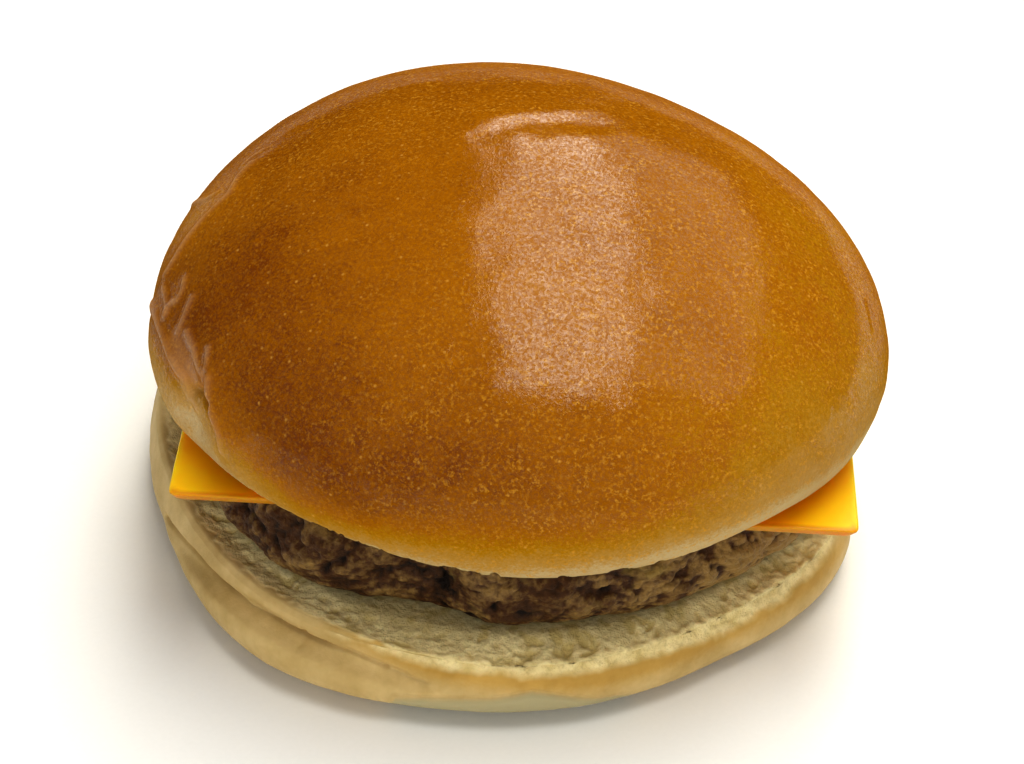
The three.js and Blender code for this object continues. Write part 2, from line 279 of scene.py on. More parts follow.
def column(values):
    """Values down the rings, one for each ring, to combine with bearings along them."""
    return np.asarray(values)[:, None]


def new_piece(node, runs, marks, material):
    """A closed piece through rings of points, from the ring at its lower pole to the one at its upper pole.

    Each run is an array of rings by places round by 3, in millimetres. Marks are numbers for the
    material to read, by name, with a number or an array for each run. The piece stays in its solid's box.
    """
    rings = np.concatenate(runs)
    around = rings.shape[1]
    low, high = (np.array(corner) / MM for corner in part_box(node))
    points = np.clip(rings, low, high)
    points = np.concatenate([points[0, :1], *points[1:-1], points[-1, :1]])
    place = np.arange(around)
    after = (place + 1) % around
    first = 1 + column(np.arange(rings.shape[0] - 2)) * around
    here, beside = first + place, first + after
    quads = np.stack([here[:-1], beside[:-1], beside[1:], here[1:]], axis=-1)
    faces = quads.reshape(-1, 4).tolist()
    top = len(points) - 1
    for a, b in zip(place.tolist(), after.tolist()):
        faces += [(0, 1 + b, 1 + a), (top - around + a, top - around + b, top)]
    name = node.replace("_", "-")
    mesh = bpy.data.meshes.new(name)
    mesh.from_pydata((points * MM).tolist(), [], faces)
    mesh.shade_smooth()
    for mark, parts in marks.items():
        values = np.concatenate([np.broadcast_to(part, run.shape[:2]) for part, run in zip(parts, runs)])
        values = np.concatenate([values[0, :1], *values[1:-1], values[-1, :1]])
        mesh.attributes.new(mark, "FLOAT", "POINT").data.foreach_set("value", values.astype(np.float32))
    mesh.materials.append(material)
    piece = bpy.data.objects.new(name, mesh)
    bpy.context.scene.collection.objects.link(piece)
    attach(piece, PIECE_BODY)
    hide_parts(node)


# Materials

COLOURS = {"data_type": "RGBA"}
MULTIPLY = {"operation": "MULTIPLY"}
MULTIPLY_ADD = {"operation": "MULTIPLY_ADD"}


def linear(colour):
    """Linear red, green, blue and alpha from an sRGB hex value."""
    parts = [int(colour[i:i + 2], 16) / 255 for i in (1, 3, 5)]
    return tuple(p / 12.92 if p <= 0.04045 else ((p + 0.055) / 1.055) ** 2.4 for p in parts) + (1.0,)


def per_mm(size):
    """Texture scale for a pattern that repeats at this size in millimetres."""
    return 1 / (size * MM)


def add_node(tree, kind, settings=(), stops=(), output=0, **inputs):
    """Adds a node with its settings, a ramp's stops and its inputs, and gives back one of its outputs.

    An input is a value or a socket to link. It is named as in Blender with _ for a space, or by its
    place, such as i0.
    """
    node = tree.nodes.new(kind)
    for name, value in dict(settings).items():
        setattr(node, name, value)
    for i, (position, colour) in enumerate(stops):
        stop = node.color_ramp.elements[i] if i < 2 else node.color_ramp.elements.new(position)
        stop.position = position
        stop.color = colour
    for name, value in inputs.items():
        socket = node.inputs[int(name[1:]) if name[1:].isdigit() else name.replace("_", " ")]
        if isinstance(value, bpy.types.NodeSocket):
            tree.links.new(value, socket)
        else:
            socket.default_value = value
    return node.outputs[output] if node.outputs else None


def empty_tree(owner):
    """Empties the nodes of a material or world, and gives back the function that adds nodes to it."""
    owner.use_nodes = True
    owner.node_tree.nodes.clear()
    return functools.partial(add_node, owner.node_tree)


def new_material(name, *marks):
    """An empty material, what adds its nodes, the place that patterns are measured from, and its marks."""
    material = bpy.data.materials.new(name)
    add = empty_tree(material)
    place = add("ShaderNodeTexCoord", output="Object")
    return material, add, place, *(
        add("ShaderNodeAttribute", {"attribute_name": mark}, output="Fac") for mark in marks)


def finish_material(add, **inputs):
    add("ShaderNodeOutputMaterial", Surface=add("ShaderNodeBsdfPrincipled", **inputs))


def glazed_crust(settings):
    """Milk-bread crust, baked under an egg wash.

    The wash dries to a thin brown gloss, so it has a clear coat. It puckers like fine leather, which
    breaks the reflections up, and pale flecks of flour and tiny blisters show through.
    """
    material, add, place, brown, crumb, taut, glaze, floury = new_material(
        "egg_washed_crust", "browning", "crumb", "taut", "glaze", "floury")
    cloud = add("ShaderNodeTexNoise", Vector=place, Scale=per_mm(11), Detail=3.0, Roughness=0.55)
    mottle = add("ShaderNodeTexNoise", Vector=place, Scale=per_mm(2.6), Detail=4.0, Roughness=0.6)
    # The real grain is finer than a tenth of a millimetre, so it is drawn as coarse as it needs to show
    grain = add("ShaderNodeTexNoise", Vector=place, Scale=per_mm(settings.grain_size / MM),
                Detail=3.0, Roughness=0.65, Distortion=0.6)
    # The patterns average a half, so half their weight comes off again
    weights = {cloud: 0.27, mottle: 0.26, grain: 0.5}
    level = brown
    for pattern, weight in weights.items():
        level = add("ShaderNodeMath", MULTIPLY_ADD, i0=pattern, i1=weight, i2=level)
    level = add("ShaderNodeMath", {"operation": "SUBTRACT"}, i0=level, i1=sum(weights.values()) / 2)
    baked = add("ShaderNodeValToRGB", Fac=level, stops=[
        (0.0, settings.pale), (0.2, linear("#B6904A")), (0.45, settings.golden),
        (0.65, linear("#A46802")), (0.85, settings.brown), (1.0, settings.dark)])
    # Flecks of flour in the wash, lighter than the crust round them
    fleck = add("ShaderNodeTexVoronoi", Vector=place, Scale=per_mm(1.2))
    chosen = add("ShaderNodeSeparateColor", Color=fleck.node.outputs["Color"])
    chosen = add("ShaderNodeMapRange", Value=chosen, From_Min=0.4, To_Max=0.5)
    fleck = add("ShaderNodeMapRange", Value=fleck, From_Min=0.06, From_Max=0.23, To_Min=1.0, To_Max=0.0)
    fleck = add("ShaderNodeMath", MULTIPLY, i0=fleck, i1=chosen)
    # Tiny blisters, thicker in some places
    speck = add("ShaderNodeTexNoise", Vector=place, Scale=per_mm(0.5), Roughness=0.7)
    speck = add("ShaderNodeMapRange", Value=speck, From_Min=0.5, From_Max=0.67, To_Max=0.68)
    patchy = add("ShaderNodeMapRange", Value=mottle, From_Min=0.42, From_Max=0.62, To_Min=0.4)
    for share in (patchy, floury):
        speck = add("ShaderNodeMath", MULTIPLY, i0=speck, i1=share)
    # Painted highlight: the ridges of the wrinkles and the flat between the strongest two are mixed towards a
    # pale pinkish tan, in place of the gloss that catches the light there
    taut = add("ShaderNodeMath", MULTIPLY, i0=taut, i1=0.45)
    for share, tint in ((fleck, "#E6B458"), (speck, "#D09A30"), (taut, "#D2AC84")):
        baked = add("ShaderNodeMix", COLOURS, output=2, Factor=share, i6=baked, i7=linear(tint))
    pores = add("ShaderNodeTexNoise", Vector=place, Scale=per_mm(1.3), Detail=5.0, Roughness=0.65)
    crumbs = add("ShaderNodeValToRGB", Fac=pores, stops=[(0.32, linear("#A38A55")), (0.62, settings.crumb)])
    colour = add("ShaderNodeMix", COLOURS, output=2, Factor=crumb, i6=baked, i7=crumbs)
    # Puckered glaze: thin curved ridges, where slow noise crosses its middle value
    bend = add("ShaderNodeTexNoise", Vector=place, Scale=per_mm(settings.pucker_size / MM),
               Detail=3.0, Roughness=0.65, Distortion=0.8)
    bend = add("ShaderNodeMath", {"operation": "SUBTRACT"}, i0=bend, i1=0.5)
    bend = add("ShaderNodeMath", {"operation": "ABSOLUTE"}, i0=bend)
    ridge = add("ShaderNodeMapRange", {"interpolation_type": "SMOOTHSTEP"}, Value=bend,
                From_Max=0.05, To_Min=0.42, To_Max=0.0)
    rough = add("ShaderNodeMath", MULTIPLY_ADD, i0=grain, i1=2.6, i2=ridge)
    # The wash fills the puckers, so its own surface, the film, is much smoother than the skin below
    puckers = [(settings.pucker_depth, 0.1), (0.16 * settings.pucker_depth, 0.045)]
    skin, film = (
        add("ShaderNodeBump", Distance=broad * MM, Height=mottle,
            Normal=add("ShaderNodeBump", Distance=fine, Height=rough))
        for fine, broad in puckers)
    # Only the tops of the puckers took a full shine, so a reflection is mottled too
    shine = add("ShaderNodeMapRange", Value=rough, From_Min=1.1, From_Max=1.9,
                To_Min=0.2 * settings.gloss, To_Max=1.65 * settings.gloss)
    # Dust and fine grain dull the wash where it is seen edge on
    facing = add("ShaderNodeLayerWeight", output="Facing", Blend=0.5)
    dust = add("ShaderNodeMapRange", Value=facing, From_Min=0.5, From_Max=0.86, To_Min=1.0, To_Max=0.06)
    shine = add("ShaderNodeMath", MULTIPLY, i0=shine, i1=dust)
    gloss = add("ShaderNodeMath", MULTIPLY, i0=glaze, i1=shine)
    finish_material(add, Base_Color=colour, Roughness=0.55, IOR=1.45, Normal=skin, Coat_Weight=gloss,
                    Coat_Roughness=0.07, Coat_IOR=1.5, Coat_Normal=film, Specular_IOR_Level=0.0)
    return material


def soft_dough(settings):
    """Pale sides and open crumb of a milk bread that baked against its neighbours.

    The sides stay dull and cream, browned only in a band at the front, and the tuck under the front is
    drawn greyer as painted shade. The cut crumb is a soft sponge: it scatters light below its surface.
    Its pores and dips are painted darker, and so is the crumb beside the patty, partly for meat juice
    and partly as painted shade.
    """
    material, add, place, crumb, gold, tuck, depth, juice = new_material(
        "soft_bread_dough", "crumb", "gold", "tuck", "pore", "juice")
    cloud = add("ShaderNodeTexNoise", Vector=place, Scale=per_mm(7), Detail=4.0, Roughness=0.6)
    grain = add("ShaderNodeTexNoise", Vector=place, Scale=per_mm(0.8), Detail=4.0, Roughness=0.65)
    sides = add("ShaderNodeValToRGB", Fac=cloud, stops=[(0.35, linear("#BEA36A")), (0.65, settings.side)])
    golden = add("ShaderNodeValToRGB", Fac=cloud, stops=[(0.35, settings.band), (0.68, linear("#CCA75C"))])
    streak = add("ShaderNodeMath", MULTIPLY_ADD, i0=grain, i1=0.5, i2=gold)
    streak = add("ShaderNodeMapRange", Value=streak, From_Min=0.32, From_Max=1.15)
    # Painted shade: the crumb is drawn darker the deeper its pores and dips are
    open_crumb = add("ShaderNodeValToRGB", Fac=depth, stops=[
        (0.0, settings.crumb), (0.5, linear("#F6E4AE")), (1.0, linear("#DEC888"))])
    pores = add("ShaderNodeTexNoise", Vector=place, Scale=per_mm(1.1), Detail=5.0, Roughness=0.7)
    # Painted shade: the crumb is also darkened in the hollows of its bump
    flecks = add("ShaderNodeMapRange", Value=pores, From_Min=0.36, From_Max=0.54, To_Min=0.35, To_Max=0.0)
    # Painted shade and juice: the crumb beside the patty is darkened, partly for meat juice and partly for
    # the shade there
    juice = add("ShaderNodeMath", MULTIPLY, i0=juice, i1=0.4)
    for share, tint in ((flecks, "#B8A46E"), (juice, "#8E7A3C")):
        open_crumb = add("ShaderNodeMix", COLOURS, output=2, Factor=share, i6=open_crumb, i7=linear(tint))
    colour = sides
    # Painted shade: the tuck under the front is drawn a greyer, darker cream
    for share, layer in ((streak, golden), (tuck, linear("#B5AA84")), (crumb, open_crumb)):
        colour = add("ShaderNodeMix", COLOURS, output=2, Factor=share, i6=colour, i7=layer)
    fine = add("ShaderNodeBump", Strength=0.8, Distance=0.1 * MM, Height=grain)
    holes = add("ShaderNodeMath", MULTIPLY, i0=pores, i1=crumb)
    bump = add("ShaderNodeBump", Distance=0.5 * MM, Height=holes, Normal=fine)
    finish_material(add, Base_Color=colour, Roughness=0.62, IOR=1.4, Normal=bump, Specular_IOR_Level=0.35,
                    Subsurface_Weight=0.12, Subsurface_Radius=(1.0, 0.7, 0.4), Subsurface_Scale=1.2 * MM)
    return material


def processed_cheese(settings):
    """Processed cheese, moulded into a slice.

    It is smooth and slightly waxy, and light goes some millimetres into it, so its shaded parts glow
    orange. Its thin upper edges are painted paler, a painted glow of light through them. Its front
    face, and the part under the upper bun's rim, are painted a deeper orange, as painted shade.
    """
    material, add, place, edge, front, warm = new_material("processed_cheese", "edge", "front", "warm")
    cloud = add("ShaderNodeTexNoise", Vector=place, Scale=per_mm(9))
    colour = add("ShaderNodeMix", COLOURS, output=2, Factor=cloud, i6=settings.body, i7=linear("#FED000"))
    # Painted shade and light: the part under the bun's rim and the front face are mixed towards deeper orange
    # as painted shade, and the thin side edges towards a paler yellow as painted light
    warm = add("ShaderNodeMath", MULTIPLY, i0=warm, i1=0.75)
    for share, tint in ((warm, linear("#FFA200")), (edge, settings.edge), (front, linear("#BC8400"))):
        colour = add("ShaderNodeMix", COLOURS, output=2, Factor=share, i6=colour, i7=tint)
    waxy = add("ShaderNodeTexNoise", Vector=place, Scale=per_mm(2.5))
    bump = add("ShaderNodeBump", Strength=0.5, Distance=0.03 * MM, Height=waxy)
    finish_material(add, Base_Color=colour, Roughness=0.38, IOR=1.45, Normal=bump,
                    Subsurface_Weight=0.75, Subsurface_Radius=(1.0, 0.35, 0.05), Subsurface_Scale=4.0 * MM)
    return material


def ground_beef(settings):
    """Coarse ground beef, grilled.

    Grey-brown grains with paler fat between them. Meat juice wets it, so it has a thin uneven shine.
    """
    material, add, place, depth = new_material("ground_beef", "cleft")
    char = add("ShaderNodeTexNoise", Vector=place, Scale=per_mm(5), Detail=4.0, Roughness=0.6)
    grain = add("ShaderNodeTexNoise", Vector=place, Scale=per_mm(0.9), Detail=5.0, Roughness=0.65)
    # Painted shade: the clefts between the lumps are drawn darker; the mark is lower towards the front right,
    # so the meat is drawn lighter there
    level = char
    for pattern, weight in ((grain, 0.6), (depth, -0.6)):
        level = add("ShaderNodeMath", MULTIPLY_ADD, i0=pattern, i1=weight, i2=level)
    meat = add("ShaderNodeValToRGB", Fac=level, stops=[
        (0.3, settings.dark), (0.7, settings.meat), (0.98, settings.light)])
    fat = add("ShaderNodeTexNoise", Vector=place, Scale=per_mm(6), Distortion=0.5)
    fat = add("ShaderNodeMapRange", Value=fat, From_Min=0.62, From_Max=0.74, To_Max=0.6)
    colour = add("ShaderNodeMix", COLOURS, output=2, Factor=fat, i6=meat, i7=settings.fat)
    fine = add("ShaderNodeBump", Distance=0.6 * MM, Height=grain)
    wet = add("ShaderNodeMapRange", Value=char, From_Min=0.42, From_Max=0.62, To_Max=0.45)
    finish_material(add, Base_Color=colour, Roughness=0.6, IOR=1.42, Normal=fine, Coat_Weight=wet,
                    Coat_Roughness=0.3, Coat_Normal=fine, Subsurface_Weight=0.03,
                    Subsurface_Radius=(1.0, 0.4, 0.25), Subsurface_Scale=0.6 * MM)
    return material


def white_paper(settings):
    """Matt white background paper, with the faint tooth of its fibres.

    Fibres are about 0.02 mm thick, so the tooth is drawn as coarse as it needs to show.
    """
    material, add, place = new_material("matt_white_paper")
    tooth = add("ShaderNodeTexNoise", Vector=place, Scale=per_mm(0.6), Detail=3.0)
    colour = add("ShaderNodeMix", COLOURS, output=2, Factor=tooth, i6=settings.paper, i7=linear("#F8F8F7"))
    bump = add("ShaderNodeBump", Strength=0.3, Distance=0.02 * MM, Height=tooth)
    finish_material(add, Base_Color=colour, Roughness=0.9, IOR=1.45, Normal=bump, Specular_IOR_Level=0.2)
    return material


# Upper bun

def past_cheese(points):
    """How far each point lies outside the square of the cheese slice."""
    turn = math.radians(-CHEESE.turn)
    dx, dy = points[..., 0] - CHEESE.centre[0], points[..., 1] - CHEESE.centre[1]
    across = np.abs(dx * math.cos(turn) - dy * math.sin(turn))
    along = np.abs(dx * math.sin(turn) + dy * math.cos(turn))
    return np.maximum(across, along) - CHEESE.side / 2


def rim_radius(bearing):
    """Distance from the axis to the upper bun's rim."""
    return UPPER_BUN.radius * UPPER_BUN.rim_share * plan_factor(bearing, UPPER_BUN.plan)


def cut_face_height(points):
    """Height of the upper bun's cut face: flat on the cheese, drooping past it, curling up at the rim."""
    x, y = points[..., 0], points[..., 1]
    bearing = np.degrees(np.arctan2(y, x))
    droop = sum(depth * swelling(bearing, middle, reach) for middle, reach, depth in DROOPS)
    curl = sum(height * swelling(bearing, middle, reach) for middle, reach, height in CURLS)
    height = UPPER_BUN_BED - droop * smoothstep(past_cheese(points), DROOP_START, DROOP_END)
    return height + curl * smoothstep(np.hypot(x, y) / rim_radius(bearing), CURL_START, 1)


def crust(bearing, share):
    """The crust without its folds. The share runs from 0 at the rim to 1 at the peak."""
    bearing, share = np.broadcast_arrays(np.asarray(bearing, float), np.asarray(share, float))
    widest = UPPER_BUN.radius * plan_factor(bearing, UPPER_BUN.plan)
    rim = rim_radius(bearing)
    turn = np.clip(share / WIDEST_SHARE, 0, 1) * QUARTER
    rim_height = cut_face_height(at_radius(rim, bearing, 0))
    below = at_radius(mix(rim, widest, np.sin(turn)), bearing,
                      mix(rim_height, UPPER_BUN.widest_height, 1 - np.cos(turn)))
    turn = np.clip((share - WIDEST_SHARE) / (1 - WIDEST_SHARE), 0, 1) * QUARTER
    power = 2 / UPPER_BUN.squash
    above = at_radius(widest * np.maximum(0, np.cos(turn)) ** power, bearing, UPPER_BUN.widest_height)
    rise = (UPPER_BUN.peak_height - UPPER_BUN.widest_height) * np.sin(turn) ** power
    above[..., 2] += rise * (1 + UPPER_BUN.lean * above[..., 1] / UPPER_BUN.radius)
    return np.where((share < WIDEST_SHARE)[..., None], below, above)


def bed_radius(bearing):
    """Distance from the axis to the edge of the flat bed that lies on the cheese, found by halving."""
    inside, outside = np.zeros(bearing.shape), np.full(bearing.shape, float(UPPER_BUN.radius))
    for _ in range(24):
        middle = (inside + outside) / 2
        within = past_cheese(at_radius(middle, bearing, 0)) < DROOP_START
        inside, outside = np.where(within, middle, inside), np.where(within, outside, middle)
    return inside


def soft_patch(skin, bearing, share, reach, amount):
    """A patch of the crust, strongest in its middle."""
    return amount * falloff(np.linalg.norm(skin - crust(bearing, share), axis=-1), reach)


def torn_edge(settings, bearing, points):
    """How far up the knife tore small notches into the rim, most of all at the left."""
    dents = np.maximum(0, wander(flat(points) / 1.2, 8) - 0.1)
    nicks = np.maximum(0, 1 - np.abs(wander(flat(points) / 1.5, 9)) / 0.2)
    nicks *= np.maximum(0, 0.5 + wander(flat(points) / 2.4, 10))
    return settings.raggedness / MM * (dents + 0.7 * nicks) * (1 + 0.8 * swelling(bearing, 215, 55))


def upper_bun_face(settings, bearing):
    """Rings out over the cut face, from its middle to the edge of the bed and on to the rim."""
    share = column(steps((0, 1, 3), (1, 2, 16))[:-1])
    rim = rim_radius(bearing)
    bed = np.minimum(rim * 0.985, bed_radius(bearing))
    face = at_radius(np.where(share <= 1, bed * share, mix(bed, rim, share - 1)), bearing, 0)
    pits = 0.4 * smoothstep(lumps(face / 1.9, 31), 0.8, 1) + 0.12 * (1 + wander(face / 0.8, 33))
    notches = torn_edge(settings, bearing, face)
    face[..., 2] = cut_face_height(face) + pits * smoothstep(share, 1.02, 1.15)
    face[..., 2] += notches * smoothstep(share, 1.85, 2)
    return face


def upper_bun(settings):
    """The cut face, then rings up the crust from the rim to the peak."""
    bearing = steps((150, 250, 260), (250, 340, 200), (340, 510, 180))[:-1][None, :]
    share = column(steps((0, 0.02, 4), (0.02, WIDEST_SHARE, 22), (WIDEST_SHARE, 0.48, 44), (0.48, 0.62, 24),
                         (0.62, 1, 30)))
    plain = crust(bearing, share)
    outward = plain - (0, 0, UPPER_BUN.widest_height)
    outward /= np.linalg.norm(outward, axis=-1, keepdims=True)
    folds = fold_lift(plain, CRUST_FOLDS, crust) + settings.wrinkle_depth * fold_lift(plain, WRINKLES, crust)
    swells = 0.1 * (wander(plain / 8, 3) - 1) + 0.065 * (wander(plain / 3.1, 4) - 1)
    lift = folds * smoothstep(share, 0, 0.08) + swells * smoothstep(share, 0.02, 0.15)
    skin = plain + outward * lift[..., None]
    skin[..., 2] += torn_edge(settings, bearing, plain) * (1 - smoothstep(share, 0.03, 0.11))

    # The crust stayed paler further up at the left
    paler = 1 + 0.9 * swelling(bearing, 200, 46) * (1 - smoothstep(share, 0.2, 0.42))
    brown = np.interp(share / paler, *zip(*BROWNING))
    # Painted shade: the patches low at the front left darken the crust where shade falls
    for patch in BROWNING_AND_SHADE_PATCHES:
        brown += soft_patch(skin, *patch)
    crumb = 1 - smoothstep(share + 0.025 * wander(flat(skin) / 0.9, 12), 0.03, 0.085)
    # Painted highlight: marks the ridges of the wrinkles and the flat between the strongest two, for the
    # material to draw paler
    ridges = [(path, 1, 0.8 * width) for path, height, width in WRINKLES if height > 0.2] + [RIDGE_HIGHLIGHT_FACET]
    taut = np.clip(fold_lift(plain, ridges, crust), 0, 1) * (0.75 + 0.35 * wander(skin / 2.2, 16))
    # The wash was brushed on from above, and hardly reached the lower part
    low = 0.16 + 0.05 * wander(skin / 7, 15) - 0.08 * swelling(bearing, 208, 40)
    glaze = 0.04 + 0.96 * smoothstep(share, low, low + 0.24) - soft_patch(skin, *THIN_WASH)
    # The flour lay thinner at the left
    floury = 1 - 0.6 * swelling(bearing, 218, 74)
    return (upper_bun_face(settings, bearing), skin), {
        "browning": (0, brown), "crumb": (1, crumb), "taut": (0, taut), "glaze": (0, glaze),
        "floury": (0, floury)}


# Cheese slice

def hang(overhang):
    """Run and fall of the slice where it hangs over, kept at its true length along the bend."""
    count = 10
    run, fall = np.zeros(overhang.shape), np.zeros(overhang.shape)
    for i in range(count):
        slope = CHEESE.sag * (overhang * (i + 0.5) / count) ** 3
        run += np.cos(slope) * overhang / count
        fall += np.sin(slope) * overhang / count
    return run, fall


def cheese_slice(settings):
    """Rings round the square: out along the underside, up round the cut edge, and in over the top."""
    along_side = 120
    step = np.linspace(-1, 1, along_side, endpoint=False)
    ones = np.ones(along_side)
    u = np.concatenate([step, ones, -step, -ones])[None, :]
    v = np.concatenate([-ones, step, ones, -step])[None, :]
    half, thick, undercut = CHEESE.side / 2, CHEESE.thickness, CHEESE.undercut
    soft = settings.edge_radius / MM
    turn = np.radians(np.linspace(0, 90, 5))
    across = steps((0, 0.5, 2), (0.5, 1, 34))
    rise, tuck = soft * (1 - np.cos(turn)), soft * (1 - np.sin(turn))
    # Each ring's inset from the full side and its height over the slice's base
    lower = [(half * (1 - s) + undercut + soft, 0.0) for s in across]
    lower += [(undercut * (1 - r / thick) + t, r) for r, t in zip(rise[1:], tuck[1:])]
    upper = [(r, thick - t) for r, t in zip(rise, tuck)]
    upper += [(half * (1 - s) + soft, thick) for s in across[::-1][1:]]
    inset, height = (column(part) for part in zip(*(lower + upper)))
    reach = np.maximum(0, half - inset)
    power = CHEESE.corner_power
    rounding = 1 / (np.abs(u) ** power + np.abs(v) ** power) ** (1 / power)
    reach = reach * mix(1, rounding, (reach / half) ** 4)
    angle = math.radians(CHEESE.turn)
    x = CHEESE.centre[0] + reach * (u * math.cos(angle) - v * math.sin(angle))
    y = CHEESE.centre[1] + reach * (u * math.sin(angle) + v * math.cos(angle))
    radius = np.hypot(x, y)
    support = CHEESE.support_radius
    run, fall = hang(np.maximum(0, radius - support))
    pull = np.where(radius > support, (support + run) / np.maximum(radius, 1), 1)
    rings = np.stack([x * pull, y * pull, CHEESE_BASE + height - fall], axis=-1)
    # The upper edges at the two sides, painted paler as light; the front face, painted deeper orange as
    # shade; and the part in the upper bun's shade, painted deeper orange too
    edge = falloff(inset, 0.55) * smoothstep(height, 0.3, thick) * smoothstep(np.abs(u), 0.97, 1)
    lip = 0.8 - 0.8 * smoothstep(inset, 0.2, 0.9)
    front = smoothstep(-v, 0.97, 1) * np.maximum(1 - smoothstep(height, 1.2, 1.48), lip)
    warm = 1 - smoothstep(radius - rim_radius(np.degrees(np.arctan2(y, x))), -1, 6)
    return (rings,), {"edge": (edge,), "front": (front,), "warm": (warm,)}


# Beef patty

def patty_radius(bearing):
    dent = sum(depth * swelling(bearing, middle, reach) for middle, reach, depth in PATTY.dents)
    return PATTY.radius * plan_factor(bearing, PATTY.plan) - dent


def beef_patty(settings):
    """The underside, the side with its lumps and grains, and the top."""
    bearing = steps((180, 360, 520), (360, 540, 200))[:-1][None, :]
    radius = patty_radius(bearing) - PATTY.edge_round
    share = column(np.linspace(0, 1, 62))
    away = np.abs(2 * share - 1)
    height = mix(PATTY_BASE, PATTY_TOP, share)
    plain = radius + PATTY.edge_round * (1 - away ** 3) + PATTY.bulge * (1 - away ** 2)
    points = at_radius(plain, bearing, height)
    coarse = lumps(points * (1, 1, 1.4) / PATTY.lump_size, 5)
    # Grains of meat in the lumps, bent out of line so that no lattice shows
    bend = 0.6 * wander(points / 3, 14)[..., None]
    medium = lumps(points / (2.7, 2.7, 2) + bend * (1, -1, 1), 41)
    small = lumps(points / (1.1, 1.1, 0.9) + bend * (1, 0, -1), 51)
    depth = settings.grain_depth / MM
    relief = PATTY.lump_depth * (coarse - 0.6) + depth * (medium - 0.8) + 0.6 * depth * (small - 0.7)
    side = at_radius(plain + relief * (1 - 0.5 * away), bearing, height)
    side[..., 2] = np.minimum(side[..., 2], cut_face_height(side) - CLEARANCE)
    rounds = column([0, 0.5, 0.95])
    base = at_radius(radius * rounds, bearing, PATTY_BASE)
    top = at_radius(radius * rounds[::-1], bearing, 0)
    top[..., 2] = np.minimum(PATTY_TOP, cut_face_height(top) - CLEARANCE)
    # Painted shade: high in the clefts between the lumps, for the material to draw darker; lower towards the
    # front right, where the meat is drawn lighter
    cleft = smoothstep(1.95 - coarse * 0.6 - medium - 0.8 * small, 0, 1.3) - 0.55 * swelling(bearing, 330, 48)
    return (base, side, top), {"cleft": (0, cleft, 0)}


# Lower bun

def crease_height(bearing):
    return FOLD.height - FOLD.fall * (1 - swelling(bearing, FOLD.bearing, FOLD.reach))


def side_of_lower_bun(bearing, z):
    """A point on the lower bun's side, above its widest ring."""
    widest, height = LOWER_BUN.widest_height, LOWER_BUN.height
    factor = plan_factor(bearing, LOWER_BUN.plan)
    fold = swelling(bearing, FOLD.bearing, FOLD.reach)
    crease = crease_height(bearing)
    narrow = 1 - LOWER_BUN.narrowing * ((z - widest) / (height - widest)) ** 2
    lip = FOLD.set_back * smoothstep(z, crease - FOLD.width, crease + FOLD.width / 2)
    cut = FOLD.depth * falloff(z - crease, FOLD.width)
    return at_radius((LOWER_BUN.radius * narrow - fold * (lip + cut)) * factor, bearing, z, LOWER_BUN.centre)


def lower_bun_skin(bearing):
    """Rings up the heel and the side, and how far the crumb tore through the crust at each point."""
    centre, widest = LOWER_BUN.centre, LOWER_BUN.widest_height
    turn = column(np.linspace(0, 1, 20)) * QUARTER
    heel = mix(LOWER_BUN.foot_radius, LOWER_BUN.radius, np.sin(turn)) * plan_factor(bearing, LOWER_BUN.plan)
    heel = at_radius(heel, bearing, widest * (1 - np.cos(turn)), centre)
    share = column(steps((0.1, 0.7, 6), (0.7, 1.3, 18), (1.3, 2, 22)))
    crease = crease_height(bearing)
    top = LOWER_BUN.height - LOWER_BUN.crust_round
    z = np.where(share < 1, mix(widest, crease, share), mix(crease, top, share - 1))
    skin = np.concatenate([heel, side_of_lower_bun(bearing, z)])
    outward = flat(skin) - (*centre, 0)
    outward /= np.linalg.norm(outward, axis=-1, keepdims=True)
    lift = fold_lift(skin, SIDE_CREASES, side_of_lower_bun)
    lift += 0.16 * (wander(skin / (6, 6, 4), 61) - 1) + 0.05 * (wander(skin / 1.7, 62) - 1)
    crumb_edge = np.interp(bearing % 360, *zip(*CRUMB_EDGE))
    crumb_edge = crumb_edge + 0.6 * wander(skin / (2.6, 2.6, 2), 75) + 0.3 * wander(skin / 0.9, 76)
    z = skin[..., 2].copy()
    torn = smoothstep(z, crumb_edge - 0.4, crumb_edge + 0.9)
    lift -= torn * (0.25 + 0.5 * (1 - lumps(skin / 2.1, 82)) + 0.15 * (1 - lumps(skin, 83)))
    skin = skin + outward * (lift * smoothstep(z, 0, 1.5))[..., None]
    skin[..., 2] -= 0.8 * lower_bun_front(bearing) * smoothstep(z, 7.5, 10.3)
    torn[:len(heel)] = 0
    return skin, torn


def lower_bun_front(bearing):
    """1 at the front right, where the cut face slopes down to its edge."""
    return swelling(bearing, 300, 68)


